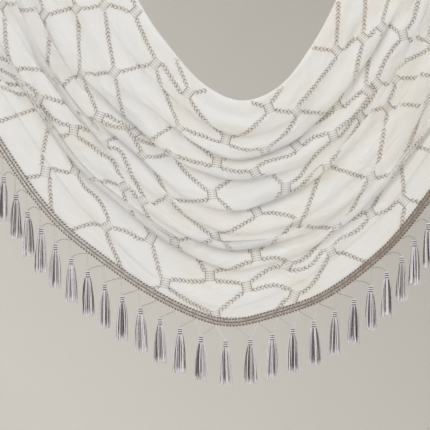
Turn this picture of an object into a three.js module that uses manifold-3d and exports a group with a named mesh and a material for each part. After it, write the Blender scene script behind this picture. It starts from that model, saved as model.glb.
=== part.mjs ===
// A waterfall valance: one sheer sheet, gathered at two shoulders on the rod line and
// falling between them in a swag of soft cross folds, with a gimp braid along its lower
// edge and a row of tassels hung from the braid on pairs of threads.
// Units are millimetres, +Z is up and the front faces -Y. The origin is the middle of the
// rod line, level with the top edges of the two shoulders.

import * as THREE from 'three';
import { mergeVertices } from 'three/addons/utils/BufferGeometryUtils.js';
import Module from 'manifold-3d';

const wasm = await Module();
wasm.setup();

// The cloth: u runs along it from the left shoulder to the right one, and a rib is the
// straight line across the swag from the neckline to the hem at one u.
const CLOTH_THICKNESS = 1.5;
const CLOTH_COLUMNS = 36;
const STEPS_PER_LIP = 3;
const STEPS_PER_SLOPE = 2;
const BEND_ROUNDNESS = 0.95;

// Neckline and hem as [x, z], left to right.
const NECKLINE = [
  [-290, 0], [-236, -150], [-150, -318], [-102, -390], [-49, -447], [7, -470],
  [63, -447], [108, -390], [147, -318], [224, -150], [283, 0],
];
const HEM = [
  [-575, 0], [-551, -120], [-517, -240], [-469, -355], [-348, -554], [-278, -648], [-208, -707],
  [-130, -760], [-60, -794], [-9, -805], [50, -793], [127, -766], [200, -715], [260, -653],
  [359, -514], [423, -404], [479, -289], [528, -164], [575, 0],
];

// Folds, from the neckline down, each with a value at every station along the cloth. crest
// is the share of the rib at which the fold stands furthest out, and depth is the distance
// from its crest back to its trough.
const STATIONS = [0, 0.3, 0.4, 0.5, 0.6, 0.7, 1];
const FOLDS = [
  { crest: [0.07, 0.15, 0.15, 0.135, 0.14, 0.13, 0.07], depth: [29, 22, 26, 28, 27, 24, 29] },
  { crest: [0.19, 0.305, 0.265, 0.26, 0.28, 0.3, 0.19], depth: [29, 28, 32, 31, 30, 26, 29] },
  { crest: [0.31, 0.425, 0.375, 0.355, 0.385, 0.4, 0.31], depth: [29, 25, 30, 32, 22, 25, 29] },
  { crest: [0.43, 0.5, 0.48, 0.48, 0.48, 0.485, 0.43], depth: [29, 25, 32, 34, 32, 26, 29] },
  { crest: [0.55, 0.575, 0.57, 0.575, 0.585, 0.595, 0.55], depth: [29, 25, 30, 30, 18, 18, 29] },
  { crest: [0.67, 0.64, 0.65, 0.655, 0.66, 0.685, 0.67], depth: [29, 20, 30, 32, 30, 26, 29] },
  { crest: [0.79, 0.72, 0.735, 0.735, 0.745, 0.765, 0.79], depth: [29, 27, 30, 30, 28, 26, 29] },
  { crest: [0.91, 0.8, 0.865, 0.9, 0.825, 0.825, 0.91], depth: [29, 26, 19, 8, 17, 24, 29] },
];

// lap is how far up the rib, as a share, each trough tucks in behind the fold above it. The
// folds stand upright in the gathers and lean down over the next one in the swag.
const LAP = [-0.06, 0.002, 0.022, 0.022, 0.022, 0.002, -0.06];
const LAST_LAP = [-0.045, -0.05, -0.04, -0.04, -0.05, -0.05, -0.045];

// The neckline's own edge rolls forward by this share of the first fold.
const NECK_ROLL = 0.2;

// How far the swag stands forward of the rod line at the neckline and at the hem.
const NECK_FORWARD = [0, 8, 16, 20, 16, 8, 0];
const HEM_FORWARD = [0, 12, 8, 11, 8, 12, 0];

// The braid: a section with two raised cords. across runs from its upper edge to its lower
// one, and proud is its height off its back.
const BRAID_SECTION = [
  { across: -6.2, proud: 0 }, { across: -6.2, proud: 1.3 }, { across: -3.4, proud: 2.4 },
  { across: -1.2, proud: 1.5 }, { across: 1.2, proud: 1.5 }, { across: 3.4, proud: 2.4 },
  { across: 6.2, proud: 1.3 }, { across: 6.2, proud: 0 },
];
const BRAID_INSET = 4;
const BRAID_STEPS = 72;

// The trim starts this far below the rod line, and SEAT is the gap that parts sewn pieces.
const TRIM_START = 110;
const SEAT = 0.5;

// The tassels: a wound head, a skirt of locks and two thread legs up to the braid.
const TASSEL_PITCH = 31.5;
const TRIM_SHIFT = 20;
const TASSEL_TILT = 0.035;
const TILT_RHYTHM = { x: 2.3, y: 1.7 };
const TURN_STEP = 0.8;
const LEG_LENGTH = 25.7;
const LEG_RADIUS = 0.75;
const LEG_SIDES = 3;
const LEG_STEPS = 3;
const LEG_SPREAD = 2.2;
const LEG_LEAD = 1.5;
const LEG_ROOT = { aside: 1.1, up: 1.2, down: 0.6 };
const SLACK_BULGE = 0.4;
const SLACK_WAY = new THREE.Vector3(0, -0.75, 0.66);
const HEAD_SIDES = 5;
const HEAD_PROFILE = [
  { radius: 0, down: 0 }, { radius: 2.6, down: 0 }, { radius: 3.8, down: 4.5 },
  { radius: 3.1, down: 9 }, { radius: 5, down: 13 }, { radius: 0, down: 13 },
];
const LOCKS = 3;
const LOCK_TOP = 12.5;
const LOCK_LENGTH = 56;
const LOCK_TOP_RADIUS = 1.6;
const LOCK_FOOT_RADIUS = 3.8;
const LOCK_TOP_OUT = 2.2;
const LOCK_FOOT_OUT = 4.6;
const SKIRT_WIDTH = 15.6;
const SKIRT_ROOM = 4;

const sheerCloth = new THREE.MeshStandardMaterial({ color: 0xe9e7e1, roughness: 0.85, metalness: 0 });
const wovenBraid = new THREE.MeshStandardMaterial({ color: 0x9c8f82, roughness: 0.7, metalness: 0 });
const silkyYarn = new THREE.MeshStandardMaterial({ color: 0xa9a19c, roughness: 0.5, metalness: 0 });

const PLUMB = new THREE.Vector3(0, 0, -1);
const valance = new THREE.Group();

function addPiece(name, geometry, material) {
  geometry.computeVertexNormals();
  const mesh = new THREE.Mesh(geometry, material);
  mesh.name = name;
  valance.add(mesh);
  return mesh;
}

function outlineCurve(points) {
  const curve = new THREE.SplineCurve(points.map(([x, z]) => new THREE.Vector2(x, z)));
  curve.arcLengthDivisions = 800;
  return curve;
}

const neckline = outlineCurve(NECKLINE);
const hem = outlineCurve(HEM);

// A table's value at u, eased between its stations by a monotone cubic.
function atStation(values, u) {
  const last = STATIONS.length - 1;
  const i = Math.min(Math.max(STATIONS.findIndex((s) => s >= u) - 1, 0), last - 1);
  const slope = (k) => (values[k + 1] - values[k]) / (STATIONS[k + 1] - STATIONS[k]);
  const tangent = (k) => {
    if (k === 0 || k === last || slope(k - 1) * slope(k) <= 0) return 0;
    return 2 / (1 / slope(k - 1) + 1 / slope(k));
  };
  const span = STATIONS[i + 1] - STATIONS[i];
  const t = (u - STATIONS[i]) / span;
  return hermite(values[i], values[i + 1], tangent(i) * span, tangent(i + 1) * span, t);
}

function hermite(from, to, leave, arrive, t) {
  const t2 = t * t;
  const t3 = t2 * t;
  const start = (2 * t3 - 3 * t2 + 1) * from + (t3 - 2 * t2 + t) * leave;
  return start + (3 * t2 - 2 * t3) * to + (t3 - t2) * arrive;
}

// The bends of the cloth along one rib: crest, trough, crest and so on, as the share of the
// rib and how far out of the swag's own surface.
function bendsAt(u) {
  const crests = FOLDS.map((fold) => ({
    share: atStation(fold.crest, u),
    out: atStation(fold.depth, u) / 2,
  }));
  const bends = [{ share: 0, out: crests[0].out * NECK_ROLL }];
  crests.forEach((crest, i) => {
    const isLast = i === crests.length - 1;
    const lap = atStation(isLast ? LAST_LAP : LAP, u);
    bends.push(crest);
    bends.push({ share: crest.share - lap, out: isLast ? 0 : -crest.out });
  });
  bends.push({ share: 1, out: 0 });
  return bends;
}

// One point of the cloth's middle surface. row counts bends, with its fraction part way
// from one bend to the next.
function clothPoint(u, row) {
  const bends = bendsAt(u);
  const i = Math.min(Math.floor(row), bends.length - 2);
  const t = row - i;
  const [from, to] = [bends[i], bends[i + 1]];
  const run = BEND_ROUNDNESS / FOLDS.length;
  const share = hermite(from.share, to.share, bendRun(bends, i, run), bendRun(bends, i + 1, run), t);
  const out = hermite(from.out, to.out, 0, 0, t);
  return swagPoint(u, share, out);
}

// How fast the cloth runs down the rib at a bend. It runs evenly from the neckline to the
// first crest and over the flat panel by the hem.
function bendRun(bends, i, run) {
  if (i === 0) return bends[1].share;
  if (i >= bends.length - 2) return 1 - bends[bends.length - 2].share;
  return run;
}

function swagPoint(u, share, out) {
  const top = neckline.getPointAt(u);
  const foot = hem.getPointAt(u);
  const forward = THREE.MathUtils.lerp(atStation(NECK_FORWARD, u), atStation(HEM_FORWARD, u), share);
  return new THREE.Vector3(
    THREE.MathUtils.lerp(top.x, foot.x, share),
    -(forward + out),
    THREE.MathUtils.lerp(top.y, foot.y, share),
  );
}

// A closed skin over rings of points. Each end is closed by a strip that zigzags across it.
function skin(rings) {
  const around = rings[0].length;
  const index = [];
  for (let r = 0; r + 1 < rings.length; r += 1) {
    for (let k = 0; k < around; k += 1) {
      const [a, b] = [r * around + k, r * around + ((k + 1) % around)];
      index.push(a, b, a + around, b, b + around, a + around);
    }
  }
  const lastRing = (rings.length - 1) * around;
  let [near, far] = [0, around - 1];
  for (let k = 0; k < around - 2; k += 1) {
    const apex = k % 2 === 0 ? near + 1 : far - 1;
    index.push(near, far, apex, lastRing + far, lastRing + near, lastRing + apex);
    if (k % 2 === 0) near = apex;
    else far = apex;
  }
  const geometry = new THREE.BufferGeometry();
  geometry.setFromPoints(rings.flat());
  geometry.setIndex(index);
  return geometry;
}

// Rows of the grid: a lip is the turn from a crest back to its trough, and a slope is the
// run from a trough, or the neckline, out to the next crest or the hem.
function clothRows() {
  const bendCount = 2 * FOLDS.length + 1;
  const rows = [];
  for (let bend = 0; bend < bendCount; bend += 1) {
    const steps = bend % 2 === 1 ? STEPS_PER_LIP : STEPS_PER_SLOPE;
    for (let s = 0; s < steps; s += 1) rows.push(bend + s / steps);
  }
  return [...rows, bendCount];
}

function clothGeometry() {
  const rows = clothRows();
  const rings = [];
  for (let c = 0; c <= CLOTH_COLUMNS; c += 1) {
    const u = c / CLOTH_COLUMNS;
    const offset = (row, side) =>
      clothPoint(u, row).addScaledVector(clothNormal(u, row), (side * CLOTH_THICKNESS) / 2);
    const front = rows.map((row) => offset(row, 1));
    const back = rows.map((row) => offset(row, -1));
    rings.push([...front, ...back.reverse()]);
  }
  return skin(rings);
}

// The unit normal on the front of the cloth, level at the two top edges.
function clothNormal(u, row) {
  const bendCount = 2 * FOLDS.length + 1;
  const du = 0.002;
  const dr = 0.02;
  const along = clothPoint(Math.min(u + du, 1), row).sub(clothPoint(Math.max(u - du, 0), row));
  const down = clothPoint(u, Math.min(row + dr, bendCount)).sub(clothPoint(u, Math.max(row - dr, 0)));
  const normal = new THREE.Vector3().crossVectors(down, along);
  if (u === 0 || u === 1) normal.z = 0;
  return normal.normalize();
}

// The trim lies on the front of the cloth along the hem, between two heights near the top.
function trimSpan() {
  const steps = 2000;
  const hangs = (i) => hem.getPointAt(i / steps).y < -TRIM_START;
  let first = 0;
  while (!hangs(first)) first += 1;
  let last = steps;
  while (!hangs(last)) last -= 1;
  return { from: first / steps, to: last / steps };
}

// Directions on the hem at u: along it, out to the front, and down off its edge.
function hemFrame(u) {
  const du = 0.001;
  const ribShare = 0.9;
  const edge = swagPoint(u, 1, 0);
  const along = swagPoint(u + du, 1, 0).sub(swagPoint(u - du, 1, 0)).normalize();
  const rib = edge.clone().sub(swagPoint(u, ribShare, 0)).normalize();
  const out = new THREE.Vector3().crossVectors(rib, along).normalize();
  const down = new THREE.Vector3().crossVectors(along, out);
  return { edge, along, out, down };
}

function braidPoint(u, across, proud) {
  const { edge, out, down } = hemFrame(u);
  return edge.addScaledVector(down, across - BRAID_INSET).addScaledVector(out, proud);
}

function braidGeometry(span) {
  const rest = CLOTH_THICKNESS / 2 + SEAT;
  const rings = [];
  for (let i = 0; i <= BRAID_STEPS; i += 1) {
    const u = THREE.MathUtils.lerp(span.from, span.to, i / BRAID_STEPS);
    rings.push(BRAID_SECTION.map(({ across, proud }) => braidPoint(u, across, rest + proud)));
  }
  return skin(rings);
}

// A closed geometry as a solid that can be joined, and back.
function toSolid(geometry) {
  const bare = geometry.clone();
  bare.deleteAttribute('normal');
  bare.deleteAttribute('uv');
  const merged = mergeVertices(bare, 1e-4);
  const vertProperties = merged.attributes.position.array;
  const triVerts = new Uint32Array(merged.index.array);
  return new wasm.Manifold(new wasm.Mesh({ numProp: 3, vertProperties, triVerts }));
}

function toGeometry(solid) {
  const mesh = solid.getMesh();
  const geometry = new THREE.BufferGeometry();
  geometry.setAttribute('position', new THREE.BufferAttribute(mesh.vertProperties, 3));
  geometry.setIndex(new THREE.BufferAttribute(mesh.triVerts, 1));
  return geometry;
}

// Where a tassel's head hangs below its two anchors: plumb under the higher one if the
// other leg is slack there, or else in the V of both legs.
function hangingPoint(left, right) {
  const [higher, lower] = left.z > right.z ? [left, right] : [right, left];
  const plumb = higher.clone().addScaledVector(PLUMB, LEG_LENGTH);
  if (plumb.distanceTo(lower) <= LEG_LENGTH) return plumb;
  const chord = right.clone().sub(left);
  const drop = Math.sqrt(LEG_LENGTH ** 2 - chord.lengthSq() / 4);
  chord.normalize();
  const down = PLUMB.clone().addScaledVector(chord, chord.z).normalize();
  return left.clone().add(right).multiplyScalar(0.5).addScaledVector(down, drop);
}

// A three-cornered section of a thread leg across the directions aside and front.
function legRing(centre, [aside, front]) {
  const ring = [];
  for (let k = 0; k < LEG_SIDES; k += 1) {
    const turn = (2 * Math.PI * k) / LEG_SIDES;
    const corner = centre.clone().addScaledVector(aside, LEG_RADIUS * Math.cos(turn));
    ring.push(corner.addScaledVector(front, LEG_RADIUS * Math.sin(turn)));
  }
  return ring;
}

// A thread leg leaves the braid's edge square and goes down into the head's top, beside the
// origin. Its spare length bulges forward and up.
function legPath({ place, down, side }) {
  const lead = place.clone().addScaledVector(down, LEG_LEAD);
  const neck = new THREE.Vector3(side * LEG_ROOT.aside, 0, LEG_ROOT.up);
  const root = new THREE.Vector3(side * LEG_ROOT.aside, 0, -LEG_ROOT.down);
  const spare = Math.sqrt(Math.max(0, LEG_LENGTH ** 2 - place.lengthSq()));
  const bulge = SLACK_WAY.clone().multiplyScalar(SLACK_BULGE * spare);
  const steps = bulge.length() > LEG_RADIUS ? LEG_STEPS : 1;
  const path = [place];
  for (let s = 0; s < steps; s += 1) {
    const share = s / steps;
    path.push(lead.clone().lerp(neck, share).addScaledVector(bulge, 4 * share * (1 - share)));
  }
  return [...path, neck, root];
}

// The leg's section lies along the braid's edge at the anchor, and each later section is
// turned from the one before it by the bend of the path and no more.
function legGeometry(anchor) {
  const path = legPath(anchor);
  const step = (i) => path[i + 1].clone().sub(path[i]).normalize();
  const way = (i) => {
    if (i === 0) return anchor.down;
    if (i >= path.length - 2) return PLUMB;
    return step(i - 1).add(step(i)).normalize();
  };
  const across = [anchor.along.clone(), anchor.out.clone()];
  const rings = path.map((centre, i) => {
    const bend = new THREE.Quaternion().setFromUnitVectors(way(Math.max(i - 1, 0)), way(i));
    across.forEach((axis) => axis.applyQuaternion(bend));
    return legRing(centre, across);
  });
  return skin(rings);
}

function headGeometry() {
  const profile = HEAD_PROFILE.map(({ radius, down }) => new THREE.Vector2(radius, -down));
  return new THREE.LatheGeometry(profile.reverse(), HEAD_SIDES).rotateX(Math.PI / 2);
}

// One lock of the skirt, which leans out from the head and tilts with the whole skirt.
function lockGeometry(turn, tilt) {
  const lean = Math.atan((LOCK_FOOT_OUT - LOCK_TOP_OUT) / LOCK_LENGTH);
  return new THREE.CylinderGeometry(LOCK_TOP_RADIUS, LOCK_FOOT_RADIUS, LOCK_LENGTH, 4)
    .rotateY(Math.PI / 4)
    .translate(0, -LOCK_LENGTH / 2, 0)
    .rotateX(Math.PI / 2)
    .rotateY(-lean)
    .translate(LOCK_TOP_OUT, 0, 0)
    .rotateZ(turn)
    .rotateX(tilt.x)
    .rotateY(tilt.y)
    .translate(0, 0, -LOCK_TOP);
}

// One tassel with its head's top at the origin and its legs up to the two anchors.
function tasselGeometry(anchors, turn, tilt) {
  const parts = [headGeometry()];
  for (let k = 0; k < LOCKS; k += 1) {
    parts.push(lockGeometry(turn + (2 * Math.PI * k) / LOCKS, tilt));
  }
  anchors.forEach((anchor) => parts.push(legGeometry(anchor)));
  return toGeometry(parts.map(toSolid).reduce((joined, part) => joined.add(part)));
}

// Neighbours that hang closer than a skirt's width step apart, one forward and one back.
function sway(spacing, order) {
  const room = SKIRT_WIDTH + SKIRT_ROOM;
  const apart = Math.sqrt(Math.max(0, room ** 2 - spacing ** 2));
  return (order % 2 === 0 ? 0.5 : -0.5) * apart;
}

function addTassels(span) {
  const length = hem.getLength();
  const first = span.from * length;
  const count = Math.floor(((span.to - span.from) * length - TRIM_SHIFT) / TASSEL_PITCH);
  const proud = CLOTH_THICKNESS / 2 + SEAT + LEG_RADIUS;
  const below = BRAID_SECTION[BRAID_SECTION.length - 1].across + SEAT;
  const anchorAt = (distance, side) => {
    const u = (first + TRIM_SHIFT + distance) / length;
    return { ...hemFrame(u), place: braidPoint(u, below, proud), side };
  };
  for (let i = 0; i < count; i += 1) {
    const left = anchorAt(i * TASSEL_PITCH + LEG_SPREAD / 2, -1);
    const right = anchorAt((i + 1) * TASSEL_PITCH - LEG_SPREAD / 2, 1);
    const top = hangingPoint(left.place, right.place);
    top.y += sway(right.place.x - left.place.x, i);
    const tilt = {
      x: TASSEL_TILT * Math.sin(TILT_RHYTHM.x * i),
      y: TASSEL_TILT * Math.sin(TILT_RHYTHM.y * i + 1),
    };
    const anchors = [left, right];
    anchors.forEach((anchor) => anchor.place.sub(top));
    const name = `tassel_${String(i + 1).padStart(2, '0')}`;
    addPiece(name, tasselGeometry(anchors, TURN_STEP * i, tilt), silkyYarn).position.copy(top);
  }
}

const trim = trimSpan();
addPiece('valance_cloth', clothGeometry(), sheerCloth);
addPiece('gimp_braid', braidGeometry(trim), wovenBraid);
addTassels(trim);

export default valance;
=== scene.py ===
"""A waterfall valance: light voile falling in a swag of soft folds, with trellis embroidery, a gimp
braid along its lower edge and a row of tassels. Lengths in the tables are millimetres."""
import math

import bpy
import numpy as np
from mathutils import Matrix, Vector


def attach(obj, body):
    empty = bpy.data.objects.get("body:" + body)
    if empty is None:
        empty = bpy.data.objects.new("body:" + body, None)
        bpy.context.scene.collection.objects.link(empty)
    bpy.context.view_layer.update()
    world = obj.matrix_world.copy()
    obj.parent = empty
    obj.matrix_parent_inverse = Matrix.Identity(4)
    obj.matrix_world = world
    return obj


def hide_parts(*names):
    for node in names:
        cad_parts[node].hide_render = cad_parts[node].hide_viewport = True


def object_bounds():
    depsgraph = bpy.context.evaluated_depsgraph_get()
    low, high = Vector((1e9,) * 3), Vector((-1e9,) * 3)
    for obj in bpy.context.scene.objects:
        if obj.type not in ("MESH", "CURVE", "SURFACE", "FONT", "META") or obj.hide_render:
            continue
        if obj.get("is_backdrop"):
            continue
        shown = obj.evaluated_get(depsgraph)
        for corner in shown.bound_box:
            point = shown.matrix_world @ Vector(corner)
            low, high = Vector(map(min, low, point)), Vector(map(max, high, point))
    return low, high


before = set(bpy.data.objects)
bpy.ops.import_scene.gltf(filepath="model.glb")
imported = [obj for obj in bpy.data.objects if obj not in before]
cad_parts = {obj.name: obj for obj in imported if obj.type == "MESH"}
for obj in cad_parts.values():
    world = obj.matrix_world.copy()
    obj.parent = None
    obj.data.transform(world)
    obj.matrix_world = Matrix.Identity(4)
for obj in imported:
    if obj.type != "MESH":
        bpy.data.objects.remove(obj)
solid_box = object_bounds()

METRES = 0.001
PLUMB = np.array([0.0, 0.0, -1.0])
FAR_OFF = 1e9

# The drape: its lines are the solid's, and its folds are shallower and softer. Neckline and hem run
# from the left shoulder to the right one, as (across, up).
NECKLINE = [(-290, 0), (-236, -150), (-150, -318), (-102, -390), (-49, -447), (7, -470), (63, -447),
            (108, -390), (147, -318), (224, -150), (283, 0)]
HEM = [(-575, 0), (-551, -120), (-517, -240), (-469, -355), (-348, -554), (-278, -648),
       (-208, -707), (-130, -760), (-60, -794), (-9, -805), (50, -793), (127, -766), (200, -715),
       (260, -653), (359, -514), (423, -404), (479, -289), (528, -164), (575, 0)]
LINE_POINTS = 6001
# Each fold has a row in both tables: where its crest lies, as a share of the way from neckline to
# hem, and how deep it is, at each of these shares of the way round.
STATIONS = np.array([0, 0.3, 0.4, 0.5, 0.6, 0.7, 1])
FOLD_CRESTS = [
    [0.07, 0.15, 0.15, 0.135, 0.14, 0.13, 0.07], [0.19, 0.305, 0.265, 0.26, 0.28, 0.3, 0.19],
    [0.31, 0.425, 0.375, 0.355, 0.385, 0.4, 0.31], [0.43, 0.5, 0.48, 0.48, 0.48, 0.485, 0.43],
    [0.55, 0.575, 0.57, 0.575, 0.585, 0.595, 0.55], [0.67, 0.64, 0.65, 0.655, 0.66, 0.685, 0.67],
    [0.79, 0.72, 0.735, 0.735, 0.745, 0.765, 0.79], [0.91, 0.8, 0.865, 0.9, 0.825, 0.825, 0.91],
]
FOLD_DEPTHS = [
    [29, 22, 26, 28, 27, 24, 29], [29, 28, 32, 31, 30, 26, 29], [29, 25, 30, 32, 22, 25, 29],
    [29, 25, 32, 34, 32, 26, 29], [29, 25, 30, 30, 18, 18, 29], [29, 20, 30, 32, 30, 26, 29],
    [29, 27, 30, 30, 28, 26, 29], [29, 26, 19, 8, 17, 24, 29],
]
# How far a trough goes back up under its crest, or below it where negative, as a share of the way.
LAP = [-0.06, 0.01, 0.036, 0.036, 0.036, 0.01, -0.06]
LAST_LAP = [-0.045, -0.05, -0.04, -0.04, -0.05, -0.05, -0.045]
NECK_ROLL = 0.2
NECK_FORWARD = [0, 8, 16, 20, 16, 8, 0]
HEM_FORWARD = [0, 12, 8, 11, 8, 12, 0]
BEND_ROUNDNESS = 0.95
BENDS = 2 * len(FOLD_CRESTS) + 1
# Each fold comes from one shoulder, by turns the left and the right. It tucks under in patches and
# lies open between them, and is shallower round the middle than at the shoulders. Patches are given
# by how many there are round the swag, the step from fold to fold and the seed.
TUCK_EASE = 0.095
TUCK_LEAST, TUCK_BY_SIDE, TUCK_BY_PATCH = 0.05, 0.5, 0.95
TUCK_PATCHES = (13, (3.7, 2.3), 21)
SIDE_BLEND = 0.09
GATHER_FROM, GATHER_RUN = 0.26, 0.2
MIDDLE_DEPTH = 0.38
SHOULDER_DEPTH = 0.62
OPEN_DEPTH = 0.75
CREST_WANDER = 0.012
CREST_PATCHES = (14, (5.1, 1.7), 22)
# Soft ridges pulled across the folds: how far forward, how wide, and the way they run (across, up).
RIDGES = [
    (3.6, 8, [(-370, -345), (-331, -421), (-244, -585), (-181, -667), (-124, -735)]),
    (3.0, 7, [(-311, -343), (-257, -456), (-219, -526), (-150, -600)]),
    (3.0, 7, [(-303, -418), (-219, -517), (-141, -568), (-90, -634)]),
    (2.6, 7, [(-250, -300), (-236, -330), (-190, -418), (-160, -470)]),
    (2.6, 6, [(-180, -340), (-157, -376), (-90, -459), (-60, -490)]),
    (3.2, 9, [(-141, -517), (-40, -550), (6, -571)]),
    (3.6, 8, [(330, -440), (285, -513), (184, -634), (142, -688), (43, -726), (-24, -763)]),
    (3.2, 8, [(201, -459), (100, -550), (6, -568)]),
    (3.0, 7, [(259, -550), (142, -634), (84, -651), (30, -672)]),
    (2.6, 6, [(180, -290), (159, -330), (110, -400), (76, -438)]),
    (2.8, 7, [(250, -300), (230, -370), (190, -440), (140, -500)]),
    (-2.6, 8, [(-40, -600), (10, -622), (70, -610), (120, -570)]),
    (-2.4, 8, [(-160, -640), (-90, -690), (-20, -712)]),
    (-3.0, 6, [(-78, -436), (-44, -478), (12, -493), (61, -466), (88, -430)]),
    (2.8, 6, [(-58, -488), (-20, -506), (30, -508), (76, -480)]),
    (2.2, 5, [(-96, -420), (-66, -470), (-40, -500)]),
    (2.2, 5, [(110, -416), (84, -462), (50, -488)]),
]
RIDGE_STRIDE = 400
RIDGE_FADE = 0.7
RIDGE_CLEAR = 0.14
# Crumples that the hands left in the soft cloth: forward by, length round the swag, length down,
# and whether they are crisp.
CRUMPLES = [(2.4, 95, 34, False), (1.3, 48, 19, False), (1.1, 75, 21, True)]
CRUMPLE_SEED = 3
CRUMPLE_START = (30.3, 11.7)
CRUMPLE_LEAN, LEAN_BLEND = 0.35, 0.05
SWAG_ROUND, SWAG_DOWN = 1650, 400
PATCH_TABLE = 64


def unit(vectors):
    return vectors / np.linalg.norm(vectors, axis=-1, keepdims=True)


def run_along(points):
    """The length run up to each point of a line, or of each line in a set."""
    steps = np.linalg.norm(np.diff(points, axis=-2), axis=-1)
    return np.insert(np.cumsum(steps, axis=-1), 0, 0, axis=-1)


def hermite(start, end, leave, arrive, t):
    return ((2 * t**3 - 3 * t**2 + 1) * start + (t**3 - 2 * t**2 + t) * leave
            + (3 * t**2 - 2 * t**3) * end + (t**3 - t**2) * arrive)


def outline(points):
    """A smooth line through the points, as many close points with the length run up to each."""
    points = np.array(points, float)
    last = len(points) - 1
    t = np.linspace(0, last, LINE_POINTS)
    i = np.minimum(t.astype(int), last - 1)
    f = (t - i)[:, None]
    a, b, c, d = (points[np.clip(i + k, 0, last)] for k in (-1, 0, 1, 2))
    line = hermite(b, c, (c - a) / 2, (d - b) / 2, f)
    return line, run_along(line)


NECK_LINE, NECK_RUN = outline(NECKLINE)
HEM_LINE, HEM_RUN = outline(HEM)


def along_line(line, run, share):
    return np.stack([np.interp(share * run[-1], run, line[:, k]) for k in (0, 1)], -1)


def at_station(values, u):
    """A value of the drape at share u of the way round, smooth between the stations."""
    values = np.array(values, float)
    slope = np.diff(values) / np.diff(STATIONS)
    lean = np.zeros(len(values))
    for k in range(1, len(slope)):
        if slope[k - 1] * slope[k] > 0:
            lean[k] = 2 / (1 / slope[k - 1] + 1 / slope[k])
    i = np.clip(np.searchsorted(STATIONS, u) - 1, 0, len(slope) - 1)
    span = STATIONS[i + 1] - STATIONS[i]
    t = (u - STATIONS[i]) / span
    return hermite(values[i], values[i + 1], lean[i] * span, lean[i + 1] * span, t)


def swag(u, share, out):
    """The point at a share of the straight way from neckline to hem, and out to the front."""
    top, foot = along_line(NECK_LINE, NECK_RUN, u), along_line(HEM_LINE, HEM_RUN, u)
    across = top + (foot - top) * share[..., None]
    neck, hem = at_station(NECK_FORWARD, u), at_station(HEM_FORWARD, u)
    return np.stack([across[..., 0], -(neck + (hem - neck) * share + out), across[..., 1]], -1)


def patches(a, b, seed):
    """Soft random patches one unit apart, from -1 to 1."""
    values = np.random.default_rng(seed).uniform(-1, 1, (PATCH_TABLE, PATCH_TABLE))
    i, j = np.floor(a).astype(int), np.floor(b).astype(int)
    s, t = a - i, b - j
    s, t = s * s * (3 - 2 * s), t * t * (3 - 2 * t)
    corner = lambda di, dj: values[(i + di) % PATCH_TABLE, (j + dj) % PATCH_TABLE]
    near = corner(0, 0) * (1 - t) + corner(0, 1) * t
    return near * (1 - s) + (corner(1, 0) * (1 - t) + corner(1, 1) * t) * s


def fold_patches(k, u, count, step, seed):
    """Soft random patches along fold k, different on each fold."""
    return patches(u * count + step[0] * k, 0 * u + step[1] * k, seed)


def fold_tuck(k, u):
    """How far fold k tucks under at u, from 0 to 1, and the share of its depth it keeps."""
    side = 1 if k % 2 else -1
    own = 0.5 + 0.5 * np.tanh(side * (u - 0.5) / SIDE_BLEND + 0.5)
    gathered = np.clip((np.abs(u - 0.5) - GATHER_FROM) / GATHER_RUN, 0, 1)
    patch = fold_patches(k, u, *TUCK_PATCHES)
    tuck = np.clip(TUCK_LEAST + TUCK_BY_SIDE * own + TUCK_BY_PATCH * patch, 0, 1)
    tuck = tuck + (1 - tuck) * gathered
    middle = MIDDLE_DEPTH * (OPEN_DEPTH + (1 - OPEN_DEPTH) * tuck)
    return tuck, middle + (SHOULDER_DEPTH - MIDDLE_DEPTH) * gathered


def ridge_lift(across, up):
    """How far the soft ridges pull the cloth forward at a place seen from the front."""
    lift = np.zeros_like(across)
    for forward, wide, points in RIDGES:
        line = outline(points)[0][::RIDGE_STRIDE]
        nearest, share = np.full_like(across, FAR_OFF), np.zeros_like(across)
        for k, (start, end) in enumerate(zip(line, line[1:])):
            way = end - start
            t = ((across - start[0]) * way[0] + (up - start[1]) * way[1]) / (way @ way)
            t = np.clip(t, 0, 1)
            apart = np.hypot(across - start[0] - t * way[0], up - start[1] - t * way[1])
            share = np.where(apart < nearest, (k + t) / (len(line) - 1), share)
            nearest = np.minimum(apart, nearest)
        lift += forward * np.exp(-(nearest / wide) ** 2) * np.sin(np.pi * share) ** RIDGE_FADE
    return lift


def crumple_lift(u, share):
    """How far the crumples stand forward at u and a share of the way down; to both
    sides they run up towards the neckline."""
    round_run, down_run = (u - 0.5) * SWAG_ROUND, share * SWAG_DOWN
    lean = CRUMPLE_LEAN * round_run * np.tanh((u - 0.5) / LEAN_BLEND)
    lift = 0
    for seed, (forward, round_by, down_by, crisp) in enumerate(CRUMPLES, CRUMPLE_SEED):
        wave = patches(round_run / round_by + CRUMPLE_START[0],
                       (down_run + lean) / down_by + CRUMPLE_START[1], seed)
        lift = lift + forward * (1 - 2 * np.abs(wave) if crisp else wave)
    return lift


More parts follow.
